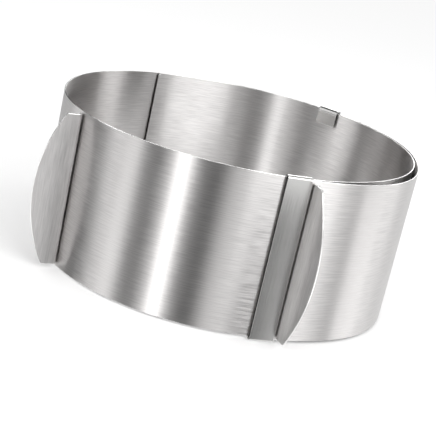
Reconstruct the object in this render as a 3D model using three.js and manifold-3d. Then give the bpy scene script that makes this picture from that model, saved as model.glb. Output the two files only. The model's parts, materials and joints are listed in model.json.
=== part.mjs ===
// Adjustable cake ring: one thin steel strip coiled a turn and a half, so that its inner end slides
// inside its outer turn and the ring can be set to any size between a small and a large cake.
// Two bent sheet handles are fixed on the strip, and two C-shaped clips hold its turns together.
// The strip bends all along its length, so it is built as a chain of short links hinged edge to edge.
// Millimetres, +Z up, origin at the bottom centre of the whole ring's box.
import * as THREE from 'three';
import { mergeVertices } from 'three/addons/utils/BufferGeometryUtils.js';
import Module from 'manifold-3d';

// Strip: its size, and the spiral it is coiled in
const bandHeight = 85;
const bandThickness = 0.5;
const bandRadius = 99.9;
const turnPitch = 1.7;
const wrapDegrees = 559.3;
const outerEndDegrees = 286.06;
const endCornerRadius = 2;

// Past its outer end the strip springs away from the turn inside it
const springOut = 3.8;
const springDegrees = 77;

// Links that the strip is divided into
const linkCount = 28;
const linkGap = 0.3;
const facetsPerLink = 4;

// Clips: one at the strip's outer end, one further round the outer turn
const clipWidth = 13;
const clipSheet = 0.7;
const clipBendRadius = 0.5;
const clipFlapHeight = 10;
const clipOverhang = 0.5;
const hookClearance = 0.5;
const slideClearance = 1.2;
const guideClipDegrees = 131.9;

// Handles: a flange on the strip and a tab that stands out from it
const handleSheet = 0.8;
const handleBendRadius = 1.2;
const handleInset = 1.2;
const flangeWidth = 8;
const tabReach = 19.3;
const tabEndReach = 8.6;
const tabLeanDegrees = 12;
const handleToClipGap = 0.6;
const fixedHandleDegrees = 291.3;

// Gap left where two pieces are welded face to face
const weldGap = 0.3;

const radians = THREE.MathUtils.degToRad;
const wrapAngle = radians(wrapDegrees);
const linkAngle = wrapAngle / linkCount;
const arcFacets = 6;
const seatOffset = bandThickness / 2 + weldGap;
const bandBottom = clipSheet + hookClearance;
const clipHeight = bandHeight + 2 * bandBottom;

const wasm = await Module();
wasm.setup();

function toSolid(geometry) {
  const bare = geometry.clone();
  bare.deleteAttribute('normal');
  bare.deleteAttribute('uv');
  const merged = mergeVertices(bare);
  const mesh = new wasm.Mesh({
    numProp: 3,
    vertProperties: new Float32Array(merged.attributes.position.array),
    triVerts: new Uint32Array(merged.index.array),
  });
  return new wasm.Manifold(mesh);
}

function toGeometry(solid) {
  const mesh = solid.getMesh();
  const geometry = new THREE.BufferGeometry();
  geometry.setAttribute('position', new THREE.BufferAttribute(mesh.vertProperties, 3));
  geometry.setIndex(new THREE.BufferAttribute(mesh.triVerts, 1));
  return geometry;
}

function extrude(shape, depth) {
  return new THREE.ExtrudeGeometry(shape, { depth, bevelEnabled: false, curveSegments: arcFacets });
}

// Point of the strip's middle surface, by the angle wound back from its outer end
function spiralPoint(angle) {
  const along = THREE.MathUtils.clamp(angle / radians(springDegrees), 0, 1);
  const spring = springOut * Math.sin(Math.PI * along) ** 2;
  const radius = bandRadius - (turnPitch * angle) / (2 * Math.PI) + spring;
  const azimuth = angle + radians(outerEndDegrees);
  return new THREE.Vector2(radius * Math.cos(azimuth), radius * Math.sin(azimuth));
}

// Direction of the strip's outward normal, from a short chord of the spiral
function outwardAzimuth(angle) {
  const halfStep = 1e-4;
  const chord = spiralPoint(angle + halfStep).sub(spiralPoint(angle - halfStep));
  return Math.atan2(-chord.x, chord.y);
}

function sheetPoint(angle, offset) {
  const azimuth = outwardAzimuth(angle);
  const normal = new THREE.Vector2(Math.cos(azimuth), Math.sin(azimuth));
  return spiralPoint(angle).addScaledVector(normal, offset);
}

// Puts a piece modelled with x outward, y along the strip and z up onto the strip at an angle
function seatOnBand(mesh, angle) {
  const point = spiralPoint(angle);
  mesh.position.set(point.x, point.y, 0);
  mesh.rotation.z = outwardAzimuth(angle);
  return mesh;
}

// Strip of sheet between two angles
function bandStrip(fromAngle, toAngle) {
  const outer = [];
  const inner = [];
  for (let facet = 0; facet <= facetsPerLink; facet += 1) {
    const angle = THREE.MathUtils.lerp(fromAngle, toAngle, facet / facetsPerLink);
    outer.push(sheetPoint(angle, bandThickness / 2));
    inner.unshift(sheetPoint(angle, -bandThickness / 2));
  }
  const strip = extrude(new THREE.Shape([...outer, ...inner]), bandHeight);
  strip.translate(0, 0, bandBottom);
  return strip;
}

// The free inner end has its two corners rounded off
function roundedEnd(strip) {
  const back = -2 * linkAngle * bandRadius;
  const top = bandHeight;
  const round = endCornerRadius;
  const outline = new THREE.Shape();
  outline.moveTo(back, 0);
  outline.lineTo(-round, 0);
  outline.absarc(-round, round, round, -Math.PI / 2, 0, false);
  outline.lineTo(0, top - round);
  outline.absarc(-round, top - round, round, 0, Math.PI / 2, false);
  outline.lineTo(back, top);
  const depth = bandRadius;
  const cutter = extrude(outline, depth);
  cutter.translate(0, 0, -depth / 2);
  cutter.rotateX(Math.PI / 2);
  const end = spiralPoint(wrapAngle);
  cutter.rotateZ(outwardAzimuth(wrapAngle) + Math.PI / 2);
  cutter.translate(end.x, end.y, bandBottom);
  return toGeometry(toSolid(strip).intersect(toSolid(cutter)));
}

function bandLink(index, material) {
  const halfGap = linkGap / 2 / bandRadius;
  const isOuterEnd = index === 0;
  const isInnerEnd = index === linkCount - 1;
  const from = index * linkAngle + (isOuterEnd ? 0 : halfGap);
  const trim = endCornerRadius / 4 / bandRadius;
  const to = (index + 1) * linkAngle + (isInnerEnd ? trim : -halfGap);
  const strip = bandStrip(from, to);
  const mesh = new THREE.Mesh(isInnerEnd ? roundedEnd(strip) : strip, material);
  mesh.name = `band_link_${String(index + 1).padStart(2, '0')}`;
  return mesh;
}

// Section of a clip across the strip: x outward from the strip's middle, y up
function clipSection() {
  const inside = clipBendRadius;
  const outside = clipBendRadius + clipSheet;
  const plate = seatOffset;
  const flap = -(turnPitch + bandThickness / 2 + slideClearance);
  const left = flap - clipSheet;
  const right = plate + clipSheet;
  const roof = clipHeight - clipSheet;
  const quarter = Math.PI / 2;
  const section = new THREE.Shape();
  section.moveTo(left, clipFlapHeight);
  section.lineTo(left, outside);
  section.absarc(left + outside, outside, outside, 2 * quarter, 3 * quarter, false);
  section.lineTo(right - outside, 0);
  section.absarc(right - outside, outside, outside, 3 * quarter, 4 * quarter, false);
  section.lineTo(right, clipHeight - outside);
  section.absarc(right - outside, clipHeight - outside, outside, 0, quarter, false);
  section.lineTo(left + outside, clipHeight);
  section.absarc(left + outside, clipHeight - outside, outside, quarter, 2 * quarter, false);
  section.lineTo(left, clipHeight - clipFlapHeight);
  section.lineTo(flap, clipHeight - clipFlapHeight);
  section.lineTo(flap, roof - inside);
  section.absarc(flap + inside, roof - inside, inside, 2 * quarter, quarter, true);
  section.lineTo(plate - inside, roof);
  section.absarc(plate - inside, roof - inside, inside, quarter, 0, true);
  section.lineTo(plate, clipSheet + inside);
  section.absarc(plate - inside, clipSheet + inside, inside, 0, -quarter, true);
  section.lineTo(flap + inside, clipSheet);
  section.absarc(flap + inside, clipSheet + inside, inside, 3 * quarter, 2 * quarter, true);
  section.lineTo(flap, clipFlapHeight);
  return section;
}

function clip(name, angle, material) {
  const body = extrude(clipSection(), clipWidth);
  body.translate(0, 0, -clipWidth / 2);
  body.rotateX(Math.PI / 2);
  const mesh = new THREE.Mesh(body, material);
  mesh.name = name;
  return seatOnBand(mesh, angle);
}

// Plan of a handle: flange along the strip, bend, then the tab leaning back over its flange.
// side is 1 where the flange runs on along the strip from the tab, and -1 where it runs back
function handlePlan(side) {
  const lean = radians(tabLeanDegrees);
  const outside = handleBendRadius + handleSheet;
  const freeEnd = flangeWidth / 2;
  const bendX = seatOffset + outside;
  const bendY = outside - flangeWidth / 2;
  const bendStop = 1.5 * Math.PI + lean;
  const tabFaceX = bendX + outside * Math.sin(lean);
  const tabLength = (seatOffset + tabReach - tabFaceX) / Math.cos(lean);
  const along = new THREE.Vector2(Math.cos(lean), Math.sin(lean)).multiplyScalar(tabLength);
  const face = new THREE.Vector2(Math.sin(lean), -Math.cos(lean));
  const bend = new THREE.Vector2(bendX, bendY);
  const outerTip = bend.clone().addScaledVector(face, outside).add(along);
  const innerTip = bend.clone().addScaledVector(face, handleBendRadius).add(along);
  const plan = new THREE.Shape();
  plan.moveTo(seatOffset, freeEnd);
  plan.lineTo(seatOffset, bendY);
  plan.absarc(bendX, bendY, outside, Math.PI, bendStop, false);
  plan.lineTo(outerTip.x, outerTip.y);
  plan.lineTo(innerTip.x, innerTip.y);
  plan.absarc(bendX, bendY, handleBendRadius, bendStop, Math.PI, true);
  plan.lineTo(seatOffset + handleSheet, freeEnd);
  const points = plan.getPoints(arcFacets).map((point) => new THREE.Vector2(point.x, side * point.y));
  return new THREE.Shape(points);
}

// Side view of a handle: straight at the strip, bowed out along its free edge
function handleOutline(height) {
  const bow = tabReach - tabEndReach;
  const bowRadius = (height ** 2 / 4 + bow ** 2) / (2 * bow);
  const bowCentre = seatOffset + tabReach - bowRadius;
  const bowHalfAngle = Math.asin(height / 2 / bowRadius);
  const outline = new THREE.Shape();
  outline.moveTo(0, 0);
  outline.lineTo(seatOffset + tabEndReach, 0);
  outline.absarc(bowCentre, height / 2, bowRadius, -bowHalfAngle, bowHalfAngle, false);
  outline.lineTo(0, height);
  return outline;
}

function handle(name, side, angle, material) {
  const height = bandHeight - 2 * handleInset;
  const bent = extrude(handlePlan(side), height);
  const depth = 2 * (flangeWidth + tabReach);
  const outline = new THREE.ExtrudeGeometry(handleOutline(height), {
    depth,
    bevelEnabled: false,
    curveSegments: 4 * arcFacets,
  });
  outline.translate(0, 0, -depth / 2);
  outline.rotateX(Math.PI / 2);
  const body = toGeometry(toSolid(bent).intersect(toSolid(outline)));
  body.translate(0, 0, bandBottom + handleInset);
  const mesh = new THREE.Mesh(body, material);
  mesh.name = name;
  return seatOnBand(mesh, angle);
}

const brushedSteel = new THREE.MeshStandardMaterial({ color: 0xc4c3c1, roughness: 0.34, metalness: 1 });
const satinSteel = new THREE.MeshStandardMaterial({ color: 0xb6b5b1, roughness: 0.4, metalness: 1 });
const brightSteel = new THREE.MeshStandardMaterial({ color: 0xcfcecb, roughness: 0.2, metalness: 1 });

const ring = new THREE.Group();
for (let index = 0; index < linkCount; index += 1) {
  ring.add(bandLink(index, brushedSteel));
}

const endClipAngle = (clipWidth / 2 - clipOverhang) / bandRadius;
const endHandleRoot = clipWidth - clipOverhang + handleToClipGap;
const endHandleAngle = (endHandleRoot + flangeWidth / 2) / bandRadius;
const fixedHandleAngle = radians(fixedHandleDegrees) - flangeWidth / 2 / bandRadius;
ring.add(clip('end_clip', endClipAngle, brightSteel));
ring.add(clip('guide_clip', radians(guideClipDegrees), brightSteel));
ring.add(handle('end_handle', 1, endHandleAngle, satinSteel));
ring.add(handle('fixed_handle', -1, fixedHandleAngle, satinSteel));

// Stand the ring on the origin, centred by its box
ring.updateMatrixWorld(true);
const box = new THREE.Box3().setFromObject(ring);
const centre = box.getCenter(new THREE.Vector3());
ring.position.set(-centre.x, -centre.y, -box.min.z);

const cakeRing = new THREE.Group();
cakeRing.add(ring);

export default cakeRing;
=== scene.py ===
import json
from math import cos, pi, radians, sin, sqrt, tan, tau

import bmesh
import bpy
from mathutils import Matrix, Vector


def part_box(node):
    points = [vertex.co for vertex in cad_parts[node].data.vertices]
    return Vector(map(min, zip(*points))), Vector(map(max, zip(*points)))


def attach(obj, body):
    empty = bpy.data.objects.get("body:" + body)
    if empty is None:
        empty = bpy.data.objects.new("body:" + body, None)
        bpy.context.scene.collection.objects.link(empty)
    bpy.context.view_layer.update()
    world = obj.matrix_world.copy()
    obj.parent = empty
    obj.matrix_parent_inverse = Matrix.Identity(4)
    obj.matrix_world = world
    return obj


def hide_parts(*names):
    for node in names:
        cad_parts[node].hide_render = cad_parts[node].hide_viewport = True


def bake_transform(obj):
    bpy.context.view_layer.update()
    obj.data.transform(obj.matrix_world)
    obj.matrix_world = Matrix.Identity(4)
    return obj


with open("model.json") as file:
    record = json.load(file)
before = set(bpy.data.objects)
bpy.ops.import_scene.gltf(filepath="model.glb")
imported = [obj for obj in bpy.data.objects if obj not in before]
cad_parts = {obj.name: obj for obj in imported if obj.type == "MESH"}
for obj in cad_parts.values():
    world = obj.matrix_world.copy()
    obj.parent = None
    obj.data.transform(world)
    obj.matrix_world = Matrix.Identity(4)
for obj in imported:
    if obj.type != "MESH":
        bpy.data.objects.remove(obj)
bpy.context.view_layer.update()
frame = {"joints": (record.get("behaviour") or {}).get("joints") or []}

# Strip: one long band of thin stainless sheet, brushed along its length and coiled a turn and a half, so
# that its inner end slides inside the outer turn. Its edges are deburred and its free corners rounded.
# The band bends all along. It is made in curved lengths, each reaching over one hinge of the frame, from
# the middle of one link to the middle of the next.
coil_radius = 0.0999
turn_pitch = 0.0017
wound_angle = radians(559.3)
outer_end = radians(286.06)
spring_out = 0.0038
spring_angle = radians(77)
strip_sheet = 0.0005
strip_deburr = 0.00012
free_corner = 0.002
corner_steps = 6
deburr_steps = 2
columns_per_length = 32
blend_reach = 1.365
rim_angle = radians(60)
crease_angle = radians(18)
facing_squarely = 0.95
hair = 0.000001
sheet_face = 0
edge_face = 1


def coil_point(angle):
    """Middle of the strip's sheet, from the ring's axis, by the angle wound back from the outer end."""
    along = min(max(angle / spring_angle, 0), 1)
    radius = coil_radius - turn_pitch * angle / tau + spring_out * sin(pi * along) ** 2
    return Vector((radius * cos(angle + outer_end), radius * sin(angle + outer_end), 0))


def coil_run(angle):
    """Direction along the strip, away from the outer end."""
    step = 0.001
    return (coil_point(angle + step) - coil_point(angle - step)).normalized()


def coil_outward(angle):
    """Direction out of the ring, square to the strip."""
    run = coil_run(angle)
    return Vector((run.y, -run.x, 0))


hinges = sorted(frame["joints"], key=lambda hinge: hinge["name"])
link_angle = wound_angle / (len(hinges) + 1)
ring_axis = Vector(hinges[0]["pos_m"]) - coil_point(link_angle)
strip_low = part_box("band_link_01")[0][2]
strip_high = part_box("band_link_01")[1][2]


def flat_blank(start, end, low, high, columns=1, rows=1):
    """A flat sheet, x along it and z up it, before it is bent."""
    blank = bmesh.new()
    place = Matrix.Translation(((start + end) / 2, 0, (low + high) / 2))
    turn = Matrix.Rotation(pi / 2, 4, "X")
    spread = Matrix.Diagonal((end - start, high - low, 1, 1))
    bmesh.ops.create_grid(
        blank, x_segments=columns, y_segments=rows, size=0.5, matrix=place @ turn @ spread
    )
    return blank


def round_corners(blank, corners, radius):
    bmesh.ops.bevel(
        blank,
        geom=corners,
        offset=radius,
        segments=corner_steps,
        profile=0.5,
        affect="VERTICES",
        material=-1,
    )


def give_thickness(blank, sheet, deburr, cut_ends=()):
    """Thickens a flat blank to both sides and rounds its rims, but not where it is cut for a hinge."""
    bmesh.ops.translate(blank, verts=blank.verts[:], vec=(0, -sheet / 2, 0))
    grown = bmesh.ops.extrude_face_region(blank, geom=blank.faces[:])["geom"]
    raised = [item for item in grown if isinstance(item, bmesh.types.BMVert)]
    bmesh.ops.translate(blank, verts=raised, vec=(0, sheet, 0))
    bmesh.ops.recalc_face_normals(blank, faces=blank.faces[:])

    def is_rim(edge):
        at_cut = any(all(abs(vert.co.x - end) < hair for vert in edge.verts) for end in cut_ends)
        return edge.calc_face_angle() > rim_angle and not at_cut

    rims = [edge for edge in blank.edges if is_rim(edge)]
    bmesh.ops.bevel(
        blank,
        geom=rims,
        offset=deburr,
        segments=deburr_steps,
        profile=0.5,
        affect="EDGES",
        material=-1,
    )
    # Rims and cut edges take the brighter steel, partly their polished deburr and partly painted
    # highlight
    for face in blank.faces:
        face.normal_update()
        face.material_index = sheet_face if abs(face.normal.y) > facing_squarely else edge_face
    keep_flat_pattern(blank)


def keep_flat_pattern(blank):
    """Lays the flat sheet's own sizes into a UV map, so that the finish follows every later bend."""
    uv = blank.loops.layers.uv.new("flat")
    for face in blank.faces:
        for loop in face.loops:
            loop[uv].uv = (loop.vert.co.x, loop.vert.co.z)


def roll_into_coil(blank):
    """Rolls a flat blank, x along the strip from its outer end and y through its sheet, into the coil."""
    for vert in blank.verts:
        angle = vert.co.x / coil_radius
        flat = vert.co.copy()
        vert.co = ring_axis + coil_point(angle) + coil_outward(angle) * flat.y
        vert.co.z = flat.z
    bmesh.ops.recalc_face_normals(blank, faces=blank.faces[:])


def add_piece(name, shape, material):
    """Makes a piece of a finished shape. Brushed shine runs round the middle of a mesh's texture space,
    so that middle is put on the ring's axis."""
    mesh = bpy.data.meshes.new(name)
    shape.to_mesh(mesh)
    shape.free()
    mesh.materials.append(material)
    mesh.materials.append(highlight_edge_steel)
    mesh.shade_smooth()
    mesh.set_sharp_from_angle(angle=crease_angle)
    mesh.use_auto_texspace = False
    mesh.texspace_location = (ring_axis.x, ring_axis.y, (strip_low + strip_high) / 2)
    mesh.texspace_size = (coil_radius, coil_radius, coil_radius)
    piece = bpy.data.objects.new(name, mesh)
    bpy.context.scene.collection.objects.link(piece)
    return piece


class Wire:
    """A shader socket that sums can be written with."""

    def __init__(self, socket):
        self.socket = socket

    @staticmethod
    def node(tree, kind, inputs=None, settings=None, output=0):
        made = tree.nodes.new(kind)
        for name, value in (settings or {}).items():
            setattr(made, name, value)
        for name, value in (inputs or {}).items():
            if isinstance(value, Wire):
                tree.links.new(value.socket, made.inputs[name])
            else:
                made.inputs[name].default_value = value
        return Wire(made.outputs[output])

    def maths(self, operation, *terms):
        return Wire.node(
            self.socket.id_data, "ShaderNodeMath", dict(enumerate(terms)), {"operation": operation}
        )

    def __add__(self, other):
        return self.maths("ADD", self, other)

    def __sub__(self, other):
        return self.maths("SUBTRACT", self, other)

    def __mul__(self, other):
        return self.maths("MULTIPLY", self, other)

    def __rsub__(self, other):
        return self.maths("SUBTRACT", other, self)

    __radd__ = __add__
    __rmul__ = __mul__

    def __abs__(self):
        return self.maths("ABSOLUTE", self)

    def to(self, node, name):
        self.socket.id_data.links.new(self.socket, node.inputs[name])


def steel(name, dull, bright, roughness, brushing, turn, grain, contrast, depth):
    """Brushed steel. brushing is how far its lines stretch the shine, and turn the way they stretch it.
    grain is the size of a line along the flat sheet's x and z, contrast how clearly it shows, and depth
    its relief. Faint clouds keep a wide sheet from looking too even."""
    line_share = 0.75
    line_roughness = 0.1
    cloud_roughness = 0.06
    cloud_scale = 25
    middle = 0.5
    half_range = 0.5 / contrast
    material = bpy.data.materials.new(name)
    material.use_nodes = True
    tree = material.node_tree
    shader = tree.nodes["Principled BSDF"]
    shader.inputs["Metallic"].default_value = 1
    shader.inputs["Anisotropic"].default_value = brushing
    shader.inputs["Anisotropic Rotation"].default_value = turn
    flat = Wire.node(tree, "ShaderNodeUVMap", settings={"uv_map": "flat"})
    stretch = {"Vector": flat, "Scale": (1 / grain[0], 1 / grain[1], 1)}
    stretched = Wire.node(tree, "ShaderNodeMapping", stretch)
    brush = {"Vector": stretched, "Scale": 1, "Detail": 4, "Roughness": 0.6}
    noise = Wire.node(tree, "ShaderNodeTexNoise", brush)
    sharpen = {"Value": noise, "From Min": middle - half_range, "From Max": middle + half_range}
    lines = Wire.node(tree, "ShaderNodeMapRange", sharpen)
    clouds = Wire.node(tree, "ShaderNodeTexNoise", {"Vector": flat, "Scale": cloud_scale, "Detail": 2})
    shade = line_share * lines + (1 - line_share) * clouds
    # A Mix node's colour sockets share their names with its other sockets, so they go by number
    shades = {0: shade, 6: (*dull, 1), 7: (*bright, 1)}
    colour = Wire.node(tree, "ShaderNodeMix", shades, {"data_type": "RGBA"}, output=2)
    colour.to(shader, "Base Color")
    rough = roughness + line_roughness * (lines - middle) + cloud_roughness * (clouds - middle)
    rough.to(shader, "Roughness")
    relief = {"Height": noise, "Strength": 1, "Distance": depth}
    Wire.node(tree, "ShaderNodeBump", relief).to(shader, "Normal")
    return material


strip_steel = steel(
    "brushed_strip_steel",
    dull=(0.59, 0.577, 0.572),
    bright=(0.78, 0.765, 0.757),
    roughness=0.34,
    brushing=1,
    turn=0.25,
    grain=(0.014, 0.0005),
    contrast=4,
    depth=0.000004,
)
# A brighter, smoother copy of the steel for rims and cut edges: partly their polished deburr, partly
# painted highlight that makes them read as thin white lines.
highlight_edge_steel = steel(
    "edge_steel_polish_and_painted_highlight",
    dull=(0.86, 0.86, 0.85),
    bright=(0.95, 0.95, 0.94),
    roughness=0.22,
    brushing=0,
    turn=0,
    grain=(0.004, 0.0003),
    contrast=1,
    depth=0.000001,
)
strip_end = wound_angle * coil_radius
link_length = link_angle * coil_radius
for index, hinge in enumerate(hinges):
    is_first = index == 0
    is_last = index == len(hinges) - 1
    start = 0 if is_first else (index + 0.5) * link_length
    end = strip_end if is_last else (index + 1.5) * link_length
    blank = flat_blank(start, end, strip_low, strip_high, columns=columns_per_length)
    if is_last:
        free_end = [vert for vert in blank.verts if vert.co.x > strip_end - hair]
        round_corners(blank, free_end, free_corner)
    cut_ends = [] if is_first else [start]
    if not is_last:
        cut_ends.append(end)
    give_thickness(blank, strip_sheet, strip_deburr, cut_ends)
    roll_into_coil(blank)
    strip = add_piece(f"strip_{index + 1:02d}", blank, strip_steel)
    half_blend = coil_run((index + 1) * link_angle) * blend_reach * link_length
    outer_link = f"link_{index + 1:02d}"
    inner_link = f"link_{index + 2:02d}"
    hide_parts(f"band_link_{index + 1:02d}")
    if is_last:
        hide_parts(f"band_link_{index + 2:02d}")
    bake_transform(strip)

# Clips: two narrow strips of bright sheet, folded over the strip's rims into a C, with tight bends
# outside and rolled ones inside. Their sheared sides are painted near black, as painted shade of the gap
# and shadow beside them. The tall plate is spot-welded on the outer turn, at its end and further round at
# the back, and the short flaps inside hold the sliding turn.
clip_width = 0.013
clip_sheet = 0.0007
clip_bend = 0.0005
clip_roll = 0.00205
clip_flap = 0.010
clip_overhang = 0.0005
clip_deburr = 0.00015
weld_gap = 0.0003
slide_clearance = 0.0012
guide_clip_angle = radians(131.9)
flap_corner = 0.001
bend_steps = 8
seat_offset = strip_sheet / 2 + weld_gap
clip_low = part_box("end_clip")[0][2]
clip_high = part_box("end_clip")[1][2]


def cut_across(blank, x):
    everything = blank.verts[:] + blank.edges[:] + blank.faces[:]
    bmesh.ops.bisect_plane(blank, geom=everything, plane_co=(x, 0, 0), plane_no=(1, 0, 0))


class Fold:
    """A path that a flat sheet is folded along: straight runs with a round bend after each."""

    def __init__(self, start, heading, runs, turns, radii):
        self.start = Vector(start)
        self.heading = heading
        self.runs = runs
        self.turns = turns
        self.radii = radii
        self.length = sum(runs) + sum(abs(turn) * radius for turn, radius in zip(turns, radii))

    def bend_cuts(self):
        """Places along the flat sheet just before each bend, through it and just after it."""
        cuts = []
        at = 0
        for run, turn, radius in zip(self.runs, self.turns, self.radii):
            at += run
            arc = abs(turn) * radius
            cuts += [at + arc * step / bend_steps for step in range(-1, bend_steps + 2)]
            at += arc
        return cuts

    def place(self, along, offset):
        """Point of the folded section, by the length along the flat sheet and the offset to its left."""
        point = self.start.copy()
        heading = self.heading
        left = along
        for run, turn, radius in zip(self.runs, [*self.turns, 0], [*self.radii, 0]):
            forward = Vector((cos(heading), sin(heading)))
            straight = min(left, run)
            point += forward * straight
            left -= straight
            arc = min(left, abs(turn) * radius)
            if arc > 0:
                side = radius if turn > 0 else -radius
                centre = point + Vector((-forward.y, forward.x)) * side
                swept = arc / radius * (1 if turn > 0 else -1)
                point = centre + Matrix.Rotation(swept, 2) @ (point - centre)
                heading += swept
                left -= arc
        sideways = Vector((-sin(heading), cos(heading)))
        return point + sideways * offset


def seat_on_strip(shape, angle):
    """Puts a shape made with x outward, y along the strip and z up onto the strip."""
    outward = coil_outward(angle)
    run = coil_run(angle)
    point = ring_axis + coil_point(angle)
    seat = Matrix((outward, run, (0, 0, 1))).transposed().to_4x4()
    seat.translation = point
    bmesh.ops.transform(shape, matrix=seat, verts=shape.verts[:])
    bmesh.ops.recalc_face_normals(shape, faces=shape.faces[:])


clip_radius = clip_bend + clip_sheet / 2
roll_radius = clip_roll + clip_sheet / 2
flap_middle = -(turn_pitch + strip_sheet / 2 + slide_clearance + clip_sheet / 2)
plate_middle = seat_offset + clip_sheet / 2
flap_run = clip_flap - clip_sheet / 2 - roll_radius
roof_run = plate_middle - flap_middle - clip_radius - roll_radius
plate_run = clip_high - clip_low - clip_sheet - 2 * clip_radius
clip_fold = Fold(
    start=(flap_middle, clip_high - clip_flap),
    heading=pi / 2,
    runs=[flap_run, roof_run, plate_run, roof_run, flap_run],
    turns=[-pi / 2] * 4,
    radii=[roll_radius, clip_radius, clip_radius, roll_radius],
)
clip_steel = steel(
    "bright_clip_steel",
    dull=(0.60, 0.595, 0.585),
    bright=(0.78, 0.775, 0.765),
    roughness=0.22,
    brushing=0.3,
    turn=0.25,
    grain=(0.020, 0.0006),
    contrast=1,
    depth=0.000002,
)
# The clips' sheared sides get a near-black copy of the steel: painted shade of the dark gap beside each
# clip
painted_shade_side_face = 2
painted_shade_side_steel = steel(
    "sheared_sides_painted_shade",
    dull=(0.04, 0.04, 0.04),
    bright=(0.10, 0.10, 0.10),
    roughness=0.45,
    brushing=0,
    turn=0,
    grain=(0.004, 0.0003),
    contrast=1,
    depth=0.000001,
)


def clip(name, angle, node, body):
    """Folds a clip from its flat blank and seats it at an angle wound back from the strip's outer end."""
    blank = flat_blank(0, clip_fold.length, -clip_width / 2, clip_width / 2)
    round_corners(blank, blank.verts[:], flap_corner)
    for x in clip_fold.bend_cuts():
        cut_across(blank, x)
    give_thickness(blank, clip_sheet, clip_deburr)
    # Painted shade: the sheared sides take the near-black steel
    for face in blank.faces:
        if abs(face.normal.z) > facing_squarely:
            face.material_index = painted_shade_side_face
    for vert in blank.verts:
        section = clip_fold.place(vert.co.x, vert.co.y)
        vert.co = (section.x, vert.co.z, section.y)
    seat_on_strip(blank, angle)
    piece = add_piece(name, blank, clip_steel)
    piece.data.materials.append(painted_shade_side_steel)
    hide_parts(node)
    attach(piece, body)


clip("outer_end_clip", (clip_width / 2 - clip_overhang) / coil_radius, "end_clip", "link_01")
clip("sliding_guide_clip", guide_clip_angle, "guide_clip", "link_07")

# Handles: two pieces of satin sheet, each with a narrow flange spot-welded on the strip and a bowed tab
# that stands out and leans back over its own flange. One is beside the clip at the strip's outer end, the
# other at the middle of the strip.
handle_sheet = 0.0008
handle_bend = 0.0012
handle_deburr = 0.0002
flange_width = 0.008
flange_end_width = 0.0032
tab_reach = 0.0193
tab_end_reach = 0.0086
tab_lean = radians(12)
tab_curl = radians(16)
tab_corner = 0.002
tab_rows = 32
handle_to_clip = 0.0006
fixed_handle_angle = radians(291.3) - flange_width / 2 / coil_radius
end_handle_angle = (clip_width - clip_overhang + handle_to_clip + flange_width / 2) / coil_radius
handle_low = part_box("end_handle")[0][2]
handle_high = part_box("end_handle")[1][2]
handle_radius = handle_bend + handle_sheet / 2
bend_x = seat_offset + handle_bend + handle_sheet
root_lean = tab_lean - tab_curl / 2
tab_root = bend_x + handle_radius * sin(root_lean)
tab_run = (seat_offset + tab_reach - tab_root) / cos(tab_lean)
flange_run = flange_width - handle_bend - handle_sheet
handle_fold = Fold(
    start=(seat_offset + handle_sheet / 2, flange_width / 2),
    heading=-pi / 2,
    runs=[flange_run, 0, 0],
    turns=[pi / 2 + root_lean, tab_curl],
    radii=[handle_radius, tab_run / tab_curl],
)
handle_steel = steel(
    "satin_handle_steel",
    dull=(0.52, 0.51, 0.505),
    bright=(0.75, 0.735, 0.73),
    roughness=0.36,
    brushing=0.4,
    turn=0,
    grain=(0.0006, 0.014),
    contrast=2.5,
    depth=0.000002,
)


def bowed(middle, end, z):
    """Reach of a handle's free edge at height z: a round bow from end, at both ends, to middle."""
    half_height = (handle_high - handle_low) / 2
    bow = middle - end
    bow_radius = (half_height ** 2 + bow ** 2) / (2 * bow)
    from_middle = z - (handle_high + handle_low) / 2
    return middle - bow_radius + sqrt(bow_radius ** 2 - from_middle ** 2)


def handle(name, side, angle, node, body):
    """side is 1 if the tab is at the flange's edge nearer the strip's outer end, and -1 if not."""
    blank = flat_blank(0, handle_fold.length, handle_low, handle_high, rows=tab_rows)
    for x in handle_fold.bend_cuts():
        cut_across(blank, x)
    tab_start = handle_fold.length - tab_run
    for vert in blank.verts:
        if vert.co.x > tab_start:
            reach = bowed(tab_reach, tab_end_reach, vert.co.z)
            run = (seat_offset + reach - tab_root) / cos(tab_lean)
            vert.co.x = tab_start + (vert.co.x - tab_start) * run / tab_run
        elif vert.co.x < flange_run:
            width = bowed(flange_width, flange_end_width, vert.co.z)
            run = width - (flange_width - flange_run)
            vert.co.x = flange_run - (flange_run - vert.co.x) * run / flange_run
    tips = [vert for vert in blank.verts if vert.co.x > tab_start and len(vert.link_edges) == 2]
    round_corners(blank, tips, tab_corner)
    give_thickness(blank, handle_sheet, handle_deburr)
    for vert in blank.verts:
        section = handle_fold.place(vert.co.x, vert.co.y)
        vert.co = (section.x, side * section.y, vert.co.z)
    seat_on_strip(blank, angle)
    piece = add_piece(name, blank, handle_steel)
    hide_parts(node)
    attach(piece, body)


handle("outer_end_handle", 1, end_handle_angle, "end_handle", "link_01")
handle("middle_handle", -1, fixed_handle_angle, "fixed_handle", "link_15")

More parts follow.
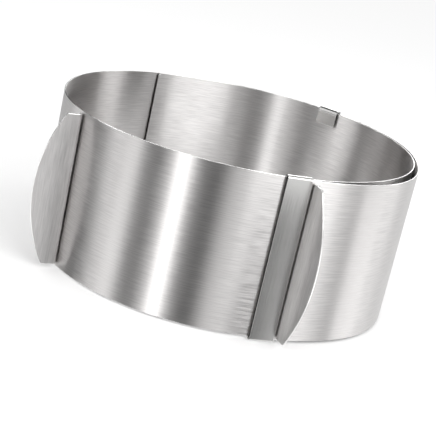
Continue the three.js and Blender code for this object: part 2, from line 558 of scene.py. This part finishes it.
# Floor: a plain pale sheet that the ring stands on. It takes the ring's soft shadow, but stops no light
# and stays out of the ring's reflections, which show the studio all the way down.
floor_half = 6
floor_grey = 0.93
floor_drop = 0.0001
floor_shape = bmesh.new()
floor_place = Matrix.Translation((0, 0, -floor_drop))
bmesh.ops.create_grid(floor_shape, x_segments=1, y_segments=1, size=floor_half, matrix=floor_place)
floor_mesh = bpy.data.meshes.new("floor")
floor_shape.to_mesh(floor_mesh)
floor_shape.free()
floor_paper = bpy.data.materials.new("floor_paper")
floor_paper.use_nodes = True
floor_shader = floor_paper.node_tree.nodes["Principled BSDF"]
floor_shader.inputs["Base Color"].default_value = (floor_grey, floor_grey, floor_grey, 1)
floor_shader.inputs["Roughness"].default_value = 1
floor_shader.inputs["Specular IOR Level"].default_value = 0
floor_mesh.materials.append(floor_paper)
floor = bpy.data.objects.new("floor", floor_mesh)
floor.visible_glossy = False
floor.visible_shadow = False
bpy.context.scene.collection.objects.link(floor)

# Studio: a white room, with soft lamps and dark cloths standing round the ring, and two near-black sheets
# lying inside it as painted shade of the floor within the ring. The brushed steel draws them out into
# upright light and dark bands.
studio_height = 3.0
lamp_height = 0.5
low_lamp = -0.3
high_lamp = 0.42
band_height = (strip_low + strip_high) / 2

world = bpy.data.worlds.new("white_room")
world.use_nodes = True
world.node_tree.nodes["Background"].inputs["Color"].default_value = (1, 1, 1, 1)
world.node_tree.nodes["Background"].inputs["Strength"].default_value = 1
bpy.context.scene.world = world


def stand_round_ring(item, azimuth, distance, lift):
    """Stands a lamp or a cloth upright beside the ring, facing it, lifted above the strip's middle."""
    direction = Vector((cos(radians(azimuth)), sin(radians(azimuth)), 0))
    item.location = ring_axis + direction * distance + Vector((0, 0, band_height + lift))
    item.rotation_euler = (-direction).to_track_quat("-Z", "Y").to_euler()


def width_at(distance, spread):
    """Width that looks as wide as the angle spread, seen from the ring."""
    return 2 * distance * tan(radians(spread) / 2)


def soft_lamp(name, azimuth, spread, distance, glow, height=lamp_height, lift=0):
    """spread is its width as an angle seen from the ring, glow its brightness over the white room's."""
    light = bpy.data.lights.new(name, "AREA")
    light.shape = "RECTANGLE"
    light.size = width_at(distance, spread)
    light.size_y = height
    light.energy = glow * pi * light.size * light.size_y
    lamp = bpy.data.objects.new(name, light)
    lamp.visible_camera = False
    bpy.context.scene.collection.objects.link(lamp)
    stand_round_ring(lamp, azimuth, distance, lift)
    return lamp


soft_lamp("lamp_left", azimuth=209.7, spread=11.5, distance=0.9, glow=0.62, lift=low_lamp)
soft_lamp("lamp_left_high", azimuth=189, spread=18.5, distance=0.9, glow=3, lift=high_lamp)
soft_lamp("lamp_front", azimuth=244.2, spread=8.3, distance=0.5, glow=1.68, height=studio_height)
soft_lamp("lamp_right_high", azimuth=306.7, spread=45.4, distance=0.8, glow=3.76, lift=high_lamp)
soft_lamp("lamp_side", azimuth=358, spread=23.1, distance=0.9, glow=0.87, lift=low_lamp)
soft_lamp("lamp_side_high", azimuth=22.5, spread=20.1, distance=0.9, glow=2.13, lift=high_lamp)
rim_lamp = soft_lamp("lamp_rim", azimuth=87.5, spread=27, distance=0.9, glow=4, height=0.2, lift=0.26)
rim_lamp.visible_diffuse = False

# The cloths' own colours tell the weave how close it is, in alpha, and how far in it thins out, in red
dark_weave = bpy.data.materials.new("dark_weave")
dark_weave.use_nodes = True
weave_tree = dark_weave.node_tree
weave_tree.nodes.clear()
weave_place = Wire.node(weave_tree, "ShaderNodeTexCoord", output="Object")
across = Wire.node(weave_tree, "ShaderNodeSeparateXYZ", {"Vector": weave_place}, output="X")
closeness = Wire.node(weave_tree, "ShaderNodeObjectInfo", output="Alpha")
tint = Wire.node(weave_tree, "ShaderNodeObjectInfo", output="Color")
thinning = Wire.node(weave_tree, "ShaderNodeSeparateColor", {"Color": tint}, output="Red")
fade = {"Value": abs(across), "From Min": 1, "From Max": 1 - thinning, "To Min": 0, "To Max": closeness}
density = Wire.node(weave_tree, "ShaderNodeMapRange", fade, {"interpolation_type": "SMOOTHSTEP"})
see_through = Wire.node(weave_tree, "ShaderNodeBsdfTransparent")
dark = Wire.node(weave_tree, "ShaderNodeEmission", {"Strength": 0})
woven = Wire.node(weave_tree, "ShaderNodeMixShader", {0: density, 1: see_through, 2: dark})
woven.to(weave_tree.nodes.new("ShaderNodeOutputMaterial"), "Surface")


def dark_cloth(name, width, height, stops, softness):
    """A cloth that shows only in the shine of the steel. stops is the share of light it stops at its
    middle, and softness the share of its half width over which it thins out."""
    mesh = bpy.data.meshes.new(name)
    shape = bmesh.new()
    bmesh.ops.create_grid(shape, x_segments=1, y_segments=1, size=1)
    shape.to_mesh(mesh)
    shape.free()
    mesh.materials.append(dark_weave)
    cloth = bpy.data.objects.new(name, mesh)
    cloth.scale = (width / 2, height / 2, 1)
    cloth.color = (softness, 0, 0, stops)
    cloth.visible_camera = False
    cloth.visible_diffuse = False
    cloth.visible_transmission = False
    cloth.visible_shadow = False
    bpy.context.scene.collection.objects.link(cloth)
    return cloth


def lay_floor_shade(name, x, width, length, stops):
    """A near-black sheet on the floor inside the ring, beside its axis: painted shade of the floor there.
    """
    floor_shade_softness = 0.3
    floor_shade_sheet = dark_cloth(name, width, length, stops, floor_shade_softness)
    floor_shade_sheet.location = ring_axis + Vector((x, 0, 0))


def dark_flag(name, azimuth, spread, distance, stops, softness=0.8, height=studio_height, lift=0):
    """A cloth that stands round the ring. spread is its width as an angle seen from the ring."""
    flag = dark_cloth(name, width_at(distance, spread), height, stops, softness)
    stand_round_ring(flag, azimuth, distance, lift)


# Painted shade: two near-black sheets, seen only in the steel's shine, stand for the shaded floor inside
# the ring under the strip's inner ends.
lay_floor_shade("mat_right", x=0.06, width=0.05, length=0.09, stops=0.97)
lay_floor_shade("mat_left", x=-0.063, width=0.044, length=0.09, stops=0.9)
dark_flag("flag_far_left", azimuth=178.2, spread=47.7, distance=1.7, stops=0.97)
dark_flag("flag_left", azimuth=223.1, spread=28.3, distance=1.6, stops=0.87)
dark_flag("flag_front", azimuth=259.4, spread=33.7, distance=0.55, stops=0.85)
dark_flag("flag_right", azimuth=357, spread=31.4, distance=1.1, stops=0.97, lift=1.55)
dark_flag("flag_right_low", azimuth=343.7, spread=18, distance=1.1, stops=0.48, height=1, lift=-0.5)
dark_flag("flag_left_high", azimuth=207.3, spread=15.9, distance=0.8, stops=0.81, lift=1.65)
dark_flag("flag_front_high", azimuth=272.4, spread=26.3, distance=0.5, stops=0.97, lift=1.6)
dark_flag("flag_behind", azimuth=116, spread=72, distance=1.1, stops=0.97, softness=0.15, lift=1.38)
dark_flag("flag_high", azimuth=52, spread=60, distance=1, stops=0.97, softness=0.2, height=2.4, lift=1.32)
dark_flag("flag_low", azimuth=293, spread=31.5, distance=0.22, stops=0.9, height=0.3, lift=-0.15)

# Camera: in front of the ring and above its rim, looking down into it. It is rolled a little, so that the
# ring seems to lean.
camera_place = ring_axis + Vector((-0.0009, -0.6468, 0.2327))
camera_drop = radians(17.55)
camera_roll = radians(12.84)
camera_lens = 98.31
camera_sensor = 36
camera_data = bpy.data.cameras.new("camera")
camera_data.lens = camera_lens
camera_data.sensor_width = camera_sensor
camera = bpy.data.objects.new("camera", camera_data)
looking = Matrix.Rotation(pi / 2 - camera_drop, 4, "X") @ Matrix.Rotation(camera_roll, 4, "Z")
camera.matrix_world = Matrix.Translation(camera_place) @ looking
bpy.context.scene.collection.objects.link(camera)
bpy.context.scene.camera = camera
bpy.context.scene.view_settings.view_transform = "Standard"
